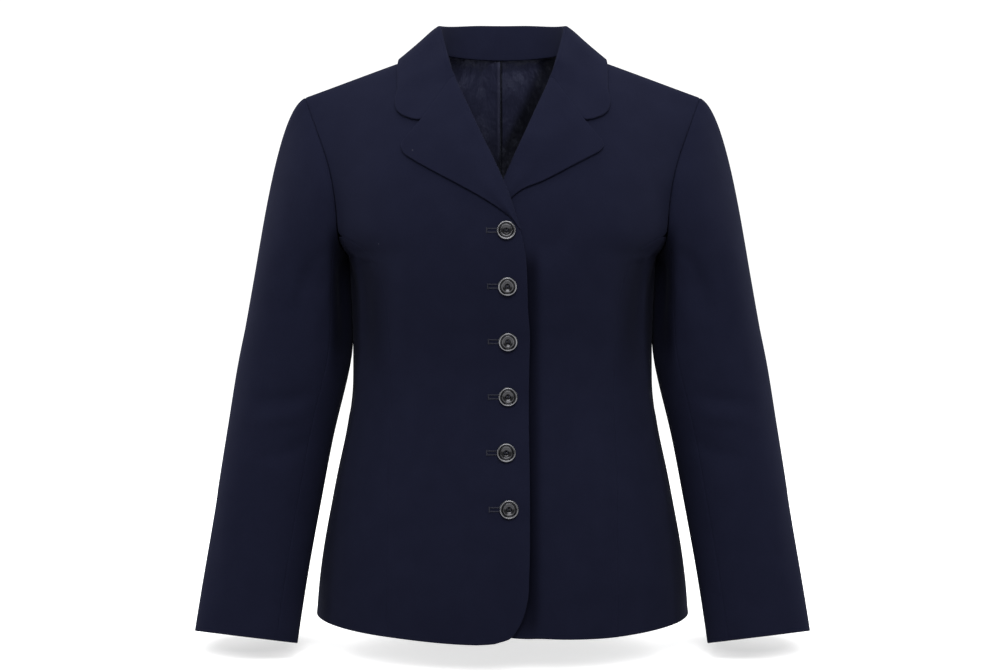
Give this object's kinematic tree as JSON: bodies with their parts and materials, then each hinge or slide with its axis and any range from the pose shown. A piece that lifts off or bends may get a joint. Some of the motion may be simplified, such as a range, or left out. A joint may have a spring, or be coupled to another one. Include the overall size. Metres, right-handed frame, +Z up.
{
  "type": "blazer",
  "caption": "Waisted single-breasted blazer with notched lapels, buttoned front and two-piece sleeves, hollow as when worn.",
  "frame": {"origin": "on the centre plane, level with the high point of the shoulders, where the wearer or a hanger holds the blazer", "axes": "+X towards the wearer's left, +Z up, and the front faces -Y"},
  "size_m": [0.6436, 0.2929, 0.6656],
  "materials": {
    "navy_cloth": "matte",
    "lining_satin": "satin",
    "button_black": "gloss"
  },
  "bodies": {
    "root": {"front_right": "navy_cloth", "front_left": "navy_cloth", "side_front_right": "navy_cloth", "side_front_left": "navy_cloth", "back_right": "navy_cloth", "back_left": "navy_cloth", "top_sleeve_right": "navy_cloth", "top_sleeve_left": "navy_cloth", "under_sleeve_right": "navy_cloth", "under_sleeve_left": "navy_cloth", "lapel_right": "navy_cloth", "lapel_left": "navy_cloth", "collar": "navy_cloth", "back_lining": "lining_satin", "button_1": "button_black", "button_2": "button_black", "button_3": "button_black", "button_4": "button_black", "button_5": "button_black", "button_6": "button_black"}
  },
  "joints": []
}
